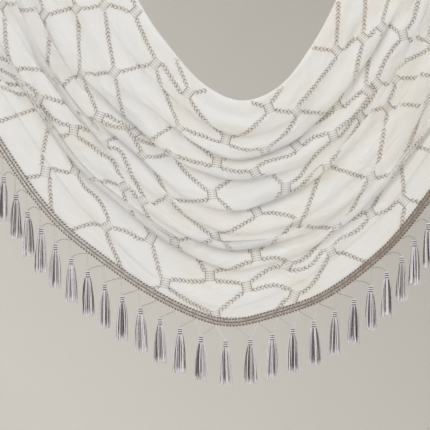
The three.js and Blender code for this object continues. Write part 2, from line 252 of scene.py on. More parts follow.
def drape(u, row):
    """The cloth's points at every u, down every row of the folds."""
    share, out = [0 * u], [at_station(FOLD_DEPTHS[0], u) / 2 * NECK_ROLL]
    for k, (crests, depths) in enumerate(zip(FOLD_CRESTS, FOLD_DEPTHS)):
        final = k == len(FOLD_CRESTS) - 1
        tuck, full = fold_tuck(k, u)
        crest = at_station(crests, u) + CREST_WANDER * fold_patches(k, u, *CREST_PATCHES)
        depth = at_station(depths, u) / 2 * full
        lap = at_station(LAST_LAP, u) if final else at_station(LAP, u) - TUCK_EASE * (1 - tuck)
        share += [crest, crest - lap]
        out += [depth, 0 * u if final else -depth]
    share, out = np.stack(share + [0 * u + 1], 1), np.stack(out + [0 * u], 1)
    run = np.full_like(share, BEND_ROUNDNESS / len(FOLD_CRESTS))
    run[:, 0] = share[:, 1]
    run[:, -2:] = 1 - share[:, -2:-1]
    i = np.minimum(row.astype(int), BENDS - 1)
    t = row - i
    share = hermite(share[:, i], share[:, i + 1], run[:, i], run[:, i + 1], t)
    out = hermite(out[:, i], out[:, i + 1], 0, 0, t)
    grid = np.broadcast_to(u[:, None], share.shape)
    points = swag(grid, share, out)
    lift = ridge_lift(points[..., 0], points[..., 2]) + crumple_lift(grid, share)
    points[..., 1] -= lift * np.clip((1 - share) / RIDGE_CLEAR, 0, 1)
    return points


# The cloth in tables: u round the swag and the share of the way down each rib, both even.
RIBS = np.linspace(0, 1, 481)
DOWN = np.linspace(0, 1, 901)
TABLE_STEPS_PER_BEND = 40


def lay_flat():
    """The hung cloth's points at each rib and row of the tables, and the length of each rib."""
    points = drape(RIBS, np.linspace(0, BENDS, BENDS * TABLE_STEPS_PER_BEND + 1))
    run = run_along(points)
    even = np.empty((len(RIBS), len(DOWN), 3))
    for i in range(len(RIBS)):
        for k in range(3):
            even[i, :, k] = np.interp(DOWN * run[i, -1], run[i], points[i, :, k])
    return even, run[:, -1]


CLOTH_POINTS, RIB_LENGTHS = lay_flat()
CLOTH_OUT = unit(np.cross(np.gradient(CLOTH_POINTS, axis=1), np.gradient(CLOTH_POINTS, axis=0)))


def sample(table, u, down):
    """A table over the flat cloth, read between its ribs and rows."""
    a = np.clip(u, 0, 1) * (len(RIBS) - 1)
    b = np.clip(down, 0, 1) * (len(DOWN) - 1)
    i, j = np.minimum(a.astype(int), len(RIBS) - 2), np.minimum(b.astype(int), len(DOWN) - 2)
    a, b = (a - i)[..., None], (b - j)[..., None]
    near = table[i, j] * (1 - b) + table[i, j + 1] * b
    far = table[i + 1, j] * (1 - b) + table[i + 1, j + 1] * b
    return near * (1 - a) + far * a


# Laid out flat, the ribs open like a fan by this angle, from the neckline as its inner rim.
FAN_ANGLE = 1.4
FAN_RIM = NECK_RUN[-1] / FAN_ANGLE
SEEN_NEAR = 2.5


def to_flat(u, run):
    """Points of the flat cloth, across its middle and down, at u and a length run down the rib."""
    turn = (u - 0.5) * FAN_ANGLE
    return np.stack([(FAN_RIM + run) * np.sin(turn), (FAN_RIM + run) * np.cos(turn) - FAN_RIM], -1)


def from_flat(flat):
    """u and the share down the rib of points on the flat cloth."""
    across, down = flat[..., 0], flat[..., 1] + FAN_RIM
    u = 0.5 + np.arctan2(across, down) / FAN_ANGLE
    return u, (np.hypot(across, down) - FAN_RIM) / np.interp(u, RIBS, RIB_LENGTHS)


def on_cloth(flat):
    """Points of the hung cloth at places on the flat cloth."""
    return sample(CLOTH_POINTS, *from_flat(flat))


def seen_from_front(across, up):
    """The flat place of the foremost cloth at a place seen from the front, or past its edge."""
    apart = np.hypot(CLOTH_POINTS[..., 0] - across, CLOTH_POINTS[..., 2] - up)
    beyond = apart.min() if apart.min() > SEEN_NEAR else 0
    near = apart <= max(beyond, SEEN_NEAR)
    foremost = np.where(near, CLOTH_POINTS[..., 1], FAR_OFF).argmin()
    i, j = np.unravel_index(foremost, near.shape)
    return to_flat(RIBS[i], DOWN[j] * RIB_LENGTHS[i] + beyond)


def mesh_piece(name, corners, faces, material, tones=None):
    """A smooth mesh from millimetre corners, riding on the valance, with a tone at each corner."""
    mesh = bpy.data.meshes.new(name)
    mesh.from_pydata((np.asarray(corners) * METRES).tolist(), [], np.asarray(faces).tolist())
    if tones is not None:
        layer = mesh.attributes.new("tone", "FLOAT", "POINT")
        layer.data.foreach_set("value", np.asarray(tones, np.float32))
    mesh.shade_smooth()
    mesh.materials.append(material)
    piece = bpy.data.objects.new(name, mesh)
    bpy.context.collection.objects.link(piece)
    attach(piece, "root")
    return piece


# Shader helpers.
def new_material(name):
    material = bpy.data.materials.new(name)
    material.use_nodes = True
    nodes = material.node_tree.nodes
    return material, nodes, material.node_tree.links, nodes["Principled BSDF"]


def set_inputs(node, values):
    for socket, value in values.items():
        node.inputs[socket].default_value = value


def add(nodes, kind, inputs=None, **settings):
    """A shader node with its settings, and values for its inputs by name or number."""
    node = nodes.new("ShaderNode" + kind)
    for key, value in settings.items():
        setattr(node, key, value)
    set_inputs(node, inputs or {})
    return node


def ramp(nodes, stops):
    """A colour ramp through (place, colour) stops."""
    node = add(nodes, "ValToRGB")
    elements = node.color_ramp.elements
    while len(elements) < len(stops):
        elements.new(0.5)
    for element, (place, colour) in zip(elements, stops):
        element.position = place
        element.color = (*colour, 1)
    return node


def yarn_twist_group():
    """Fine twist of spun yarn: a mottled tone and a height for its plies."""
    group = bpy.data.node_groups.new("yarn_twist", "ShaderNodeTree")
    for title in ("Scale", "Mottle", "Tone"):
        group.interface.new_socket(title, in_out="INPUT", socket_type="NodeSocketFloat")
    for title in ("Tone", "Height"):
        group.interface.new_socket(title, in_out="OUTPUT", socket_type="NodeSocketFloat")
    nodes, links = group.nodes, group.links
    come, go = nodes.new("NodeGroupInput"), nodes.new("NodeGroupOutput")
    place = add(nodes, "TexCoord")
    speck = add(nodes, "TexNoise", {"Detail": 3}, noise_dimensions="3D")
    ply = add(nodes, "TexWave", {"Distortion": 2.5, "Detail": 1},
              wave_type="BANDS", bands_direction="DIAGONAL")
    for texture in (speck, ply):
        links.new(place.outputs["Object"], texture.inputs["Vector"])
        links.new(come.outputs["Scale"], texture.inputs["Scale"])
    centred = add(nodes, "Math", {1: 0.5}, operation="SUBTRACT")
    links.new(speck.outputs["Fac"], centred.inputs[0])
    mottle = add(nodes, "Math", operation="MULTIPLY_ADD", use_clamp=True)
    links.new(centred.outputs[0], mottle.inputs[0])
    links.new(come.outputs["Mottle"], mottle.inputs[1])
    links.new(come.outputs["Tone"], mottle.inputs[2])
    links.new(mottle.outputs[0], go.inputs["Tone"])
    links.new(ply.outputs["Fac"], go.inputs["Height"])
    return group


YARN_TWIST = yarn_twist_group()
YARN_RELIEF = 0.0003


def yarn_material(name, stops, scale, mottle, roughness, sheen, bump):
    """Yarn whose colour follows each strand's own tone, from the first stop to the last."""
    material, nodes, links, shader = new_material(name)
    tone = add(nodes, "Attribute", attribute_name="tone")
    twist = add(nodes, "Group", {"Scale": scale, "Mottle": mottle}, node_tree=YARN_TWIST)
    colours = ramp(nodes, stops)
    relief = add(nodes, "Bump", {"Strength": bump, "Distance": YARN_RELIEF})
    links.new(tone.outputs["Fac"], twist.inputs["Tone"])
    links.new(twist.outputs["Tone"], colours.inputs["Fac"])
    links.new(colours.outputs["Color"], shader.inputs["Base Color"])
    links.new(twist.outputs["Height"], relief.inputs["Height"])
    links.new(relief.outputs["Normal"], shader.inputs["Normal"])
    set_inputs(shader, {"Roughness": roughness, "Sheen Weight": sheen, "Sheen Roughness": 0.4})
    return material


# The voile's colours, from warm to cool. Random clouds pick among them, and so do painted sheen and
# painted shade on the creases, cooler on their crests and warmer in their hollows, and painted warm
# light, warmer to the right; over them its slubs.
CLOTH_TINTS = [(0.36, (0.905, 0.872, 0.81)), (0.48, (0.93, 0.917, 0.89)),
               (0.6, (0.95, 0.95, 0.955))]
SLUB_TINTS = [(0.35, (0.975, 0.97, 0.962)), (0.6, (1, 1, 1))]
# Painted warm light: how far the tint moves towards warm for each metre to the right.
PAINTED_WARM_LIGHT_TO_RIGHT = -0.22
CREASES_A_METRE = (14, 30, 1)
SLUBS_A_METRE = (26, 900, 1)
WEAVE_SCALE = 260


def cloth_tint(nodes, links, place, creases):
    """Warm and cool clouds at random, with painted sheen and shade on the creases, cooler on their
    crests and warmer in their hollows, and painted warm light that makes it warmer to the right.
    """
    clouds = add(nodes, "TexNoise", {"Scale": 9, "Detail": 2}, noise_dimensions="3D")
    links.new(place.outputs["Object"], clouds.inputs["Vector"])
    # Half the tint follows the creases' height: painted sheen on their crests, painted shade in
    # their hollows.
    clouds_and_painted_crease_light = add(nodes, "Mix", {"Factor": 0.5}, data_type="FLOAT")
    links.new(clouds.outputs["Fac"], clouds_and_painted_crease_light.inputs["A"])
    links.new(creases.outputs["Fac"], clouds_and_painted_crease_light.inputs["B"])
    split = add(nodes, "SeparateXYZ")
    links.new(place.outputs["Object"], split.inputs["Vector"])
    # Painted warm light: the tint turns warmer towards the right.
    painted_side_light = add(nodes, "Math", {1: PAINTED_WARM_LIGHT_TO_RIGHT}, operation="MULTIPLY_ADD")
    links.new(split.outputs["X"], painted_side_light.inputs[0])
    links.new(clouds_and_painted_crease_light.outputs["Result"], painted_side_light.inputs[2])
    tint = ramp(nodes, CLOTH_TINTS)
    links.new(painted_side_light.outputs[0], tint.inputs["Fac"])
    return tint


def flat_noise(nodes, links, flat, scale, **inputs):
    """Noise drawn on the flat cloth, stretched to a scale along and across it."""
    stretch = add(nodes, "Mapping", {"Scale": scale})
    links.new(flat.outputs["UV"], stretch.inputs["Vector"])
    noise = add(nodes, "TexNoise", {"Scale": 1, **inputs}, noise_dimensions="2D")
    links.new(stretch.outputs["Vector"], noise.inputs["Vector"])
    return noise


def cloth_material():
    """Voile: warm white with faint warm and cool clouds, slubs, creases and a fine plain weave;
    painted sheen and shade follow the creases, and painted warm light warms it to the right.
    """
    material, nodes, links, shader = new_material("sheer_cloth")
    flat = add(nodes, "UVMap", uv_map="flat")
    place = add(nodes, "TexCoord")
    creases = flat_noise(nodes, links, flat, CREASES_A_METRE, Detail=3, Distortion=0.9)
    slubs = flat_noise(nodes, links, flat, SLUBS_A_METRE, Detail=2)
    tint = cloth_tint(nodes, links, place, creases)
    slub_shade = ramp(nodes, SLUB_TINTS)
    links.new(slubs.outputs["Fac"], slub_shade.inputs["Fac"])
    blend = add(nodes, "Mix", {"Factor": 1}, data_type="RGBA", blend_type="MULTIPLY")
    links.new(tint.outputs["Color"], blend.inputs["A"])
    links.new(slub_shade.outputs["Color"], blend.inputs["B"])
    links.new(blend.outputs["Result"], shader.inputs["Base Color"])
    weave = add(nodes, "Math", operation="ADD")
    for k, direction in enumerate("XY"):
        threads = add(nodes, "TexWave", {"Scale": WEAVE_SCALE, "Distortion": 1.2},
                      wave_type="BANDS", bands_direction=direction)
        links.new(flat.outputs["UV"], threads.inputs["Vector"])
        links.new(threads.outputs["Fac"], weave.inputs[k])
    crease_relief = add(nodes, "Bump", {"Strength": 0.5, "Distance": 0.004})
    links.new(creases.outputs["Fac"], crease_relief.inputs["Height"])
    weave_relief = add(nodes, "Bump", {"Strength": 0.12, "Distance": YARN_RELIEF})
    links.new(weave.outputs[0], weave_relief.inputs["Height"])
    links.new(crease_relief.outputs["Normal"], weave_relief.inputs["Normal"])
    links.new(weave_relief.outputs["Normal"], shader.inputs["Normal"])
    set_inputs(shader, {
        "Roughness": 0.8, "Specular IOR Level": 0.25, "Sheen Weight": 0.1, "Sheen Roughness": 0.5,
        "Subsurface Weight": 1, "Subsurface Radius": (1, 1, 1), "Subsurface Scale": 0.0015})
    return material


SHEER_CLOTH = cloth_material()
TAUPE_THREAD = yarn_material(
    "taupe_thread", [(0, (0.34, 0.28, 0.22)), (0.5, (0.53, 0.455, 0.375)), (1, (0.74, 0.67, 0.59))],
    scale=900, mottle=0.35, roughness=0.5, sheen=0.2, bump=0.3)
WOVEN_BRAID = yarn_material(
    "woven_braid", [(0, (0.12, 0.1, 0.085)), (0.5, (0.43, 0.345, 0.27)), (1, (0.92, 0.9, 0.89))],
    scale=700, mottle=0.25, roughness=0.5, sheen=0.2, bump=0.4)
# The silky yarn runs from near black to near white, so that the tassels' locks can carry painted
# shade and painted highlight in place of the silk's sheen.
SILKY_YARN = yarn_material(
    "silky_yarn", [(0, (0.12, 0.095, 0.088)), (0.5, (0.53, 0.475, 0.475)), (1, (0.98, 0.96, 1.0))],
    scale=330, mottle=0.7, roughness=0.3, sheen=0.3, bump=0.3)

# The cloth: a fine grid over the drape, thicker along its turned hems.
CLOTH_COLUMNS = 300
STEPS_PER_BEND = 9
HALF_CLOTH = 0.3
HALF_HEM = 0.55
HEM_TURN, HEM_EDGE = 9, 0.8


def cloth_piece():
    u = np.linspace(0, 1, CLOTH_COLUMNS + 1)
    row = np.linspace(0, BENDS, BENDS * STEPS_PER_BEND + 1)
    points = drape(u, row)
    run = run_along(points)
    down = run / run[:, -1:]
    out = sample(CLOTH_OUT, np.broadcast_to(u[:, None], down.shape), down)
    from_edge = np.minimum(run, run[:, -1:] - run)
    turned = np.clip((HEM_TURN - from_edge) / HEM_EDGE, 0, 1)[..., None]
    half = HALF_CLOTH + (HALF_HEM - HALF_CLOTH) * turned
    front, back = points + out * half, points - out * half
    corners = np.concatenate([front.reshape(-1, 3), back.reshape(-1, 3)])
    columns, rows = len(u), len(row)
    index = np.arange(columns * rows).reshape(columns, rows)
    a, b, c, d = index[:-1, :-1], index[1:, :-1], index[1:, 1:], index[:-1, 1:]
    face = np.stack([a, d, c, b], -1).reshape(-1, 4)
    under = face[:, ::-1] + columns * rows
    rim = np.concatenate([index[:, 0], index[-1, 1:], index[-2::-1, -1], index[0, -2:0:-1]])
    after = np.roll(rim, -1)
    edge = np.stack([rim, after, after + columns * rows, rim + columns * rows], -1)
    faces = np.concatenate([face, under, edge])
    cloth = mesh_piece("valance_cloth_draped", corners, faces, SHEER_CLOTH)
    flat = to_flat(u[:, None], run).reshape(-1, 2) * METRES
    flat = np.concatenate([flat, flat])
    layer = cloth.data.uv_layers.new(name="flat")
    layer.data.foreach_set("uv", flat[faces.reshape(-1)].astype(np.float32).reshape(-1))
    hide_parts("valance_cloth")
    return cloth


# Stitches: each is a slim closed leaf laid on the cloth's face, and shows through on its back. Its
# corners are six round the rim, then the peak and the underside.
LEAF_RIM = [(0, 1, 6), (1, 2, 6), (2, 3, 6), (3, 4, 6), (4, 5, 6), (5, 0, 6)]
LEAF = np.array(LEAF_RIM + [(b, a, 7) for a, b, _ in LEAF_RIM])
LEAF_CORNERS = 8
LEAF_SHOULDERS = (0.1, 0.45)
LEAF_HEIGHT, LEAF_HEIGHT_BY_WIDTH = 0.2, 0.5
STITCH_REST = 0.5
STITCH_THROUGH = 0.85


def leaves(start, end, out, half_width):
    """Corners and faces of leaf-shaped stitches between two sets of points on the cloth."""
    side = unit(np.cross(out, end - start)) * half_width[:, None]
    height = (LEAF_HEIGHT + LEAF_HEIGHT_BY_WIDTH * half_width)[:, None]
    rest = out * STITCH_REST
    near, far = (start + (end - start) * share for share in LEAF_SHOULDERS)
    middle = (start + end) / 2
    rim = [start, near - side, far - side, end, far + side, near + side]
    peaks = [middle + rest + out * height, middle - out * STITCH_THROUGH]
    corners = np.stack([corner + rest for corner in rim] + peaks, 1)
    faces = LEAF[None] + LEAF_CORNERS * np.arange(len(start))[:, None, None]
    return corners.reshape(-1, 3), faces.reshape(-1, 3)


# The trellis: crossings in columns half a pitch apart, staggered by half a pitch down. The cloth
# was eased on the bias as it was hung, so a crossing may lie off the even net: for these the table
# gives column, row and the place seen from the front (across, up).
TRELLIS_START = np.array([-38, 35])
TRELLIS_COLUMN = np.array([59.0, -0.8])
TRELLIS_ROW = np.array([2.3, 81.4])
CROSSINGS = [
    (0, 0, -19, -527), (0, 1, -32, -562), (0, 2, -39, -609), (0, 3, -34, -672), (0, 4, -40, -730),
    (0, 5, -33, -789), (1, -0.5, 45, -479), (1, 0.5, 40, -544), (1, 1.5, 28, -574),
    (1, 2.5, 28, -633), (1, 3.5, 26, -701), (1, 4.5, 14, -746), (2, 0, 88, -490), (2, 1, 87, -537),
    (2, 2, 70, -598), (2, 3, 88, -653), (2, 4, 72, -714), (3, -0.5, 149, -396), (3, 0.5, 147, -474),
    (3, 1.5, 143, -524), (3, 2.5, 134, -570), (3, 3.5, 146, -653), (3, 4.5, 139, -695),
    (4, 1, 195, -456), (4, 3, 196, -580), (5, 0.5, 214, -358), (5, 2.5, 225, -480),
    (5, 4.5, 248, -621), (6, 3, 284, -470), (6, 4, 254, -555), (6, 2, 232, -434),
    (-1, -0.5, -72, -458), (-1, 0.5, -87, -513), (-1, 1.5, -100, -554), (-1, 2.5, -102, -610),
    (-1, 3.5, -97, -680), (-1, 4.5, -111, -744), (-2, 1, -152, -517), (-2, 2, -146, -556),
    (-2, 3, -140, -618), (-2, 4, -130, -675), (-3, 0.5, -186, -428), (-3, 1.5, -206, -490),
    (-3, 2.5, -201, -538), (-3, 3.5, -171, -599), (-3, 4.5, -196, -659), (-4, 1, -236, -432),
    (-4, 3, -246, -513), (-4, 4, -242, -573), (-5, 1.5, -272, -444), (-5, 4.5, -289, -574),
    (-6, 1, -291, -342), (-4, 5, -274, -670), (-6, 4, -292, -498), (-6, 5, -369, -574),
]
EASE_REACH = 0.62
EASE_SLACK = 0.01
# The net is drawn past the cloth on all sides, and only what lies inside these margins is sewn.
NET_COLUMNS, NET_ROWS = range(-18, 19), range(-5, 10)
NET_SEED = 11
LADDER_MARGIN, PLACE_MARGIN, STITCH_MARGIN = 0.01, 0.006, 0.004
LEAST_SPAN = 0.1
# A ladder: half its width and height, its rails and rungs as half width and tone, and how far the
# stitches lap.
LADDER = (6.8, 7.0)
RUNGS = 5
RAIL, RAIL_LAP = (0.6, 0.25), 1.2
RUNG, RUNG_PROUD, RUNG_LAP = (0.42, 0.45), 0.8, 0.9
# An arm: the pitch of its loops and where each goes, from its start out to its tip and back, with
# the half width and tones of the outward stitch and of the return.
ARM_STEP = 6.0
ARM_CLEAR = 0.6
ARM_SHARES = 25
ROW_STAGGER = 0.1
LOOP_START, START_OFF = (-3.0, -2.2), 0.3
TIP_ALONG, TIP_OFF = (0.2, 1.4), (3.1, 4.3)
LOOP_END, END_OFF = (2.6, 3.4), 0.2
OUTWARD_HALF, OUTWARD_TONES = 0.85, (0.1, 0.8)
RETURN_HALF, RETURN_TONES = 0.5, (0.5, 1.0)


def even_net(column, row):
    return TRELLIS_START + TRELLIS_COLUMN * column[..., None] + TRELLIS_ROW * row[..., None]


def nearness(column, row, knots):
    apart = ((column[..., None] - knots[:, 0]) / 2) ** 2 + (row[..., None] - knots[:, 1]) ** 2
    return np.exp(-apart / (2 * EASE_REACH**2))


def eased_net():
    """How much each listed crossing pulls the net about it."""
    knots = np.array(CROSSINGS)
    places = np.array([seen_from_front(across, up) for across, up in knots[:, 2:]])
    off = places - even_net(knots[:, 0], knots[:, 1])
    close = nearness(knots[:, 0], knots[:, 1], knots) + EASE_SLACK * np.eye(len(knots))
    return knots, np.linalg.solve(close, off)


EASED_KNOTS, EASED_PULL = eased_net()


def trellis_flat(column, row):
    """Where a crossing of the trellis, given by column and row, lies on the flat cloth."""
    column, row = np.array(float(column)), np.array(float(row))
    return even_net(column, row) + nearness(column, row, EASED_KNOTS) @ EASED_PULL


def ladder_lines():
    """One crossing's ladder, two rails and the rungs across, as lines from start to end with half
    width and tone."""
    half, tall = LADDER
    thirds = np.linspace(-tall, tall, 4)
    lines = []
    for side in (-1, 1):
        for low, high in zip(thirds, thirds[1:]):
            lines.append((side * half, low - RAIL_LAP, side * half, high + RAIL_LAP, *RAIL))
        for rung in np.linspace(-tall, tall, RUNGS):
            lines.append((side * (half + RUNG_PROUD), rung, -side * RUNG_LAP, rung, *RUNG))
    return np.array(lines)


def arm_lines(leave, way, rng):
    """One arm's two rows of stitched loops, even on the hung cloth: the share of the way to each
    stitch, and its line, half width and tone."""
    share = np.linspace(0, 1, ARM_SHARES)
    run = run_along(on_cloth(leave + way * share[:, None]))
    count = int(round(run[-1] / ARM_STEP))
    along, lines = [], []
    for k in range(count):
        for side in (-1, 1):
            tip = (rng.uniform(*TIP_ALONG), side * rng.uniform(*TIP_OFF))
            along += [(k + 0.5 + ROW_STAGGER * side) * run[-1] / count] * 2
            lines.append((rng.uniform(*LOOP_START), -side * START_OFF, *tip,
                          OUTWARD_HALF, rng.uniform(*OUTWARD_TONES)))
            lines.append((*tip, rng.uniform(*LOOP_END), -side * END_OFF,
                          RETURN_HALF, rng.uniform(*RETURN_TONES)))
    return np.interp(along, run, share), np.array(lines)


def at_true_size(place, way, offset):
    """Flat places off the given ones by offsets that are true on the hung cloth, along a way and
    square to it."""
    across = (on_cloth(place + (1, 0)) - on_cloth(place - (1, 0))) / 2
    down = (on_cloth(place + (0, 1)) - on_cloth(place - (0, 1))) / 2
    along = unit(across * way[:, :1] + down * way[:, 1:])
    square = np.cross(unit(np.cross(across, down)), along)
    reach = along * offset[:, :1] + square * offset[:, 1:]
    dot = lambda a, b: (a * b).sum(1)
    aa, ab, bb = dot(across, across), dot(across, down), dot(down, down)
    ra, rb = dot(across, reach), dot(down, reach)
    span = np.maximum(aa * bb - ab * ab, LEAST_SPAN)
    return place + np.stack([bb * ra - ab * rb, aa * rb - ab * ra], 1) / span[:, None]


def inside(flat, margin):
    u, down = from_flat(flat)
    return (u > margin) & (u < 1 - margin) & (down > margin) & (down < 1 - margin)


def ladder_corner(node, x, y):
    """A corner of the ladder at a crossing, as a flat place."""
    if not inside(node, LADDER_MARGIN):
        return node + (x, y)
    return at_true_size(node[None], np.array([[1.0, 0]]), np.array([[x, y]]))[0]


def net_lines():
    """Every stitch of the net: its flat place, the way it goes, and its line there."""
    rng = np.random.default_rng(NET_SEED)
    ladder = ladder_lines()
    half, tall = LADDER
    half += ARM_CLEAR
    places, ways, lines = [], [], []

    def sew(place, way, line):
        places.append(np.broadcast_to(place, (len(line), 2)))
        ways.append(np.broadcast_to(way, (len(line), 2)))
        lines.append(line)

    for column in NET_COLUMNS:
        for step in NET_ROWS:
            row = step + (0.5 if column % 2 else 0)
            here = trellis_flat(column, row)
            sew(here, [1.0, 0.0], ladder)
            for side in (-1, 1):
                there = trellis_flat(column + side, row + 0.5)
                leave = ladder_corner(here, side * half, tall)
                way = ladder_corner(there, -side * half, -tall) - leave
                along, arm = arm_lines(leave, way, rng)
                if len(arm):
                    sew(leave + along[:, None] * way, way, arm)
    return np.concatenate(places), np.concatenate(ways), np.concatenate(lines)


def embroidery_piece():
    place, way, line = net_lines()
    on = inside(place, PLACE_MARGIN)
    place, way, line = place[on], way[on], line[on]
    start, end = (at_true_size(place, way, line[:, k:k + 2]) for k in (0, 2))
    on = inside(start, STITCH_MARGIN) & inside(end, STITCH_MARGIN)
    start, end, line = start[on], end[on], line[on]
    half_width, tone = line[:, 4], line[:, 5]
    out = unit(sample(CLOTH_OUT, *from_flat((start + end) / 2)))
    corners, faces = leaves(on_cloth(start), on_cloth(end), out, half_width)
    return mesh_piece("trellis_embroidery", corners, faces, TAUPE_THREAD,
                      np.repeat(tone, LEAF_CORNERS))


# The trim: a braid on the front of the hem and the tassels that hang from it.
BRAID_INSET = 4
BRAID_EDGE = 6.2
TRIM_START = 110
TRIM_SHARES = 2000
CLOTH_FRONT = 0.75
SEAT = 0.5
HEM_STEP = 0.001
ABOVE_HEM = 0.9


def trim_span():
    """The lengths along the hem between which it hangs low enough to be trimmed."""
    shares = np.arange(TRIM_SHARES + 1) / TRIM_SHARES
    hanging = shares[along_line(HEM_LINE, HEM_RUN, shares)[:, 1] < -TRIM_START]
    return hanging[0] * HEM_RUN[-1], hanging[-1] * HEM_RUN[-1]


TRIM_FROM, TRIM_TO = trim_span()


def hem_frame(distance):
    """The hem's edge at distances along it, with the ways out to the front and down."""
    u = np.asarray(distance, float) / HEM_RUN[-1]
    on_hem = lambda u, share: swag(u, np.full_like(u, share), 0 * u)
    edge = on_hem(u, 1.0)
    along = unit(on_hem(u + HEM_STEP, 1.0) - on_hem(u - HEM_STEP, 1.0))
    out = unit(np.cross(edge - on_hem(u, ABOVE_HEM), along))
    return edge, out, np.cross(along, out)


def on_braid(distance, across, proud):
    """Points on the braid at distances along the hem, across the braid's middle and proud of it."""
    edge, out, down = hem_frame(distance)
    return edge + down * (across - BRAID_INSET) + out * (proud + CLOTH_FRONT + SEAT)


def tapered_bar(sides, steps):
    """Corners and faces of a bar modelled from a filled circle drawn out along -Z, as (radius,
    down) steps. The faces are sorted, because extruding lists them in an order that varies."""
    bpy.ops.object.select_all(action="DESELECT")
    bpy.ops.mesh.primitive_circle_add(vertices=sides, radius=steps[0][0], fill_type="NGON",
                                      location=(0, 0, -steps[0][1]))
    bar = bpy.context.object
    bpy.ops.object.mode_set(mode="EDIT")
    bpy.ops.mesh.select_all(action="SELECT")
    for (radius, down), (wider, lower) in zip(steps, steps[1:]):
        bpy.ops.mesh.extrude_region_move(TRANSFORM_OT_translate={"value": (0, 0, down - lower)})
        bpy.ops.transform.resize(value=(wider / radius, wider / radius, 1))
    bpy.ops.mesh.select_all(action="SELECT")
    bpy.ops.mesh.normals_make_consistent(inside=False)
    bpy.ops.mesh.quads_convert_to_tris()
    bpy.ops.object.mode_set(mode="OBJECT")
    bpy.ops.object.transform_apply(location=True, rotation=True, scale=True)
    mesh = bar.data
    corners = np.array([v.co for v in mesh.vertices], float)
    faces = np.array(sorted(tuple(p.vertices) for p in mesh.polygons))
    bpy.data.objects.remove(bar)
    bpy.data.meshes.remove(mesh)
    return corners, faces


def lay_bars(bar, start, end, out, half_width, half_height):
    """Copies of a bar of unit radius and length between points, flattened to a width and height."""
    corners, faces = bar
    way = end - start
    side = unit(np.cross(out, way))
    up = unit(np.cross(way, side))
    placed = (start[:, None] - corners[None, :, 2:3] * way[:, None]
              + corners[None, :, 0:1] * (side * half_width)[:, None]
              + corners[None, :, 1:2] * (up * half_height)[:, None])
    turned = faces[None] + len(corners) * np.arange(len(start))[:, None, None]
    return placed.reshape(-1, 3), turned.reshape(-1, 3)


def joined(parts):
    """Corners, faces and tones of several sets as one."""
    corners, faces, tones, count = [], [], [], 0
    for more, turned, tone in parts:
        corners.append(more)
        faces.append(turned + count)
        tones.append(tone)
        count += len(more)
    return np.concatenate(corners), np.concatenate(faces), np.concatenate(tones)


# The braid: a flat strip, its section as (across, proud), and over it rows of stitches, as pitch,
# first place, lead along the braid, from and to across it, proud, half width, half height, tone,
# and the share of it lost where the braid turns browner to the right.
STRIP_STEPS = 420
STRIP_SECTION = [(-5.4, 0), (-5.4, 0.8), (5.4, 0.8), (5.4, 0)]
STRIP_TONE = 0.55
BRAID_SEED = 5
STITCH_SIDES = 5
BRAID_STITCH = [(0.45, 0), (1.0, 0.3), (1.0, 0.7), (0.45, 1)]
BRAID_ROWS = [
    (2.8, 0.4, 0.5, -0.5, -4.4, 1.0, 1.15, 0.7, 0.95, 0.36),
    (2.8, 0.4, 0.5, 0.5, 4.4, 1.0, 1.15, 0.7, 0.95, 0.36),
    (5.0, 1.0, 3.2, -4.5, -5.9, 1.15, 1.0, 0.95, 0.16, 0.36),
    (5.0, 3.6, 2.2, -4.6, -5.3, 1.05, 0.9, 0.8, 0.95, 0.36),
    (4.8, 0.6, 2.8, 4.5, 5.7, 1.1, 1.0, 0.9, 0.16, 0.36),
    (4.8, 3.2, 1.8, 4.7, 5.3, 1.15, 0.9, 0.95, 0.85, 0.1),
    (2.7, 0, 2.9, 0, 0, 1.1, 0.4, 0.5, 0.1, 0.36),
    (4.9, 1.0, 1.8, -1.6, -3.3, 1.6, 1.25, 0.7, 1.0, 0.5),
    (4.9, 3.0, 1.8, 1.6, 3.3, 1.6, 1.25, 0.7, 1.0, 0.5),
]
BROWNER_FROM, BROWNER_RUN = 0.3, 0.35
STITCH_SHIFT = 0.12
TONE_SHIFT = 0.12


def braid_strip():
    place = np.linspace(TRIM_FROM, TRIM_TO, STRIP_STEPS)
    rings = np.stack([on_braid(place, across, proud) for across, proud in STRIP_SECTION], 1)
    index = np.arange(4 * len(place)).reshape(-1, 4)
    after = np.roll(index, -1, 1)
    walls = np.stack([index[:-1], after[:-1], after[1:], index[1:]], -1).reshape(-1, 4)
    ends = [[0, 2, 1], [0, 3, 2]], index[-1][[[0, 1, 2], [0, 2, 3]]]
    walls = np.concatenate([walls[:, [0, 1, 2]], walls[:, [0, 2, 3]], *ends])
    return rings.reshape(-1, 3), walls, np.full(4 * len(place), STRIP_TONE)


def braid_row(stitch, row, rng):
    pitch, first, lead, near, far, proud, half_width, half_height, tone, browner = row
    place = np.arange(TRIM_FROM + first, TRIM_TO - lead, pitch)
    place = place + rng.uniform(-STITCH_SHIFT, STITCH_SHIFT, len(place))
    start, end = on_braid(place, near, proud), on_braid(place + lead, far, proud)
    out = hem_frame(place)[1]
    corners, faces = lay_bars(stitch, start, end, out, half_width, half_height)
    share = (place - TRIM_FROM) / (TRIM_TO - TRIM_FROM)
    shade = tone * (1 - browner * np.clip((share - BROWNER_FROM) / BROWNER_RUN, 0, 1))
    shade = np.clip(shade + rng.uniform(-TONE_SHIFT, TONE_SHIFT, len(place)), 0, 1)
    return corners, faces, np.repeat(shade, len(stitch[0]))


def braid_piece():
    rng = np.random.default_rng(BRAID_SEED)
    stitch = tapered_bar(STITCH_SIDES, BRAID_STITCH)
    parts = [braid_strip()] + [braid_row(stitch, row, rng) for row in BRAID_ROWS]
    corners, faces, tones = joined(parts)
    braid = mesh_piece("gimp_braid_woven", corners, faces, WOVEN_BRAID, tones)
    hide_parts("gimp_braid")
    return braid


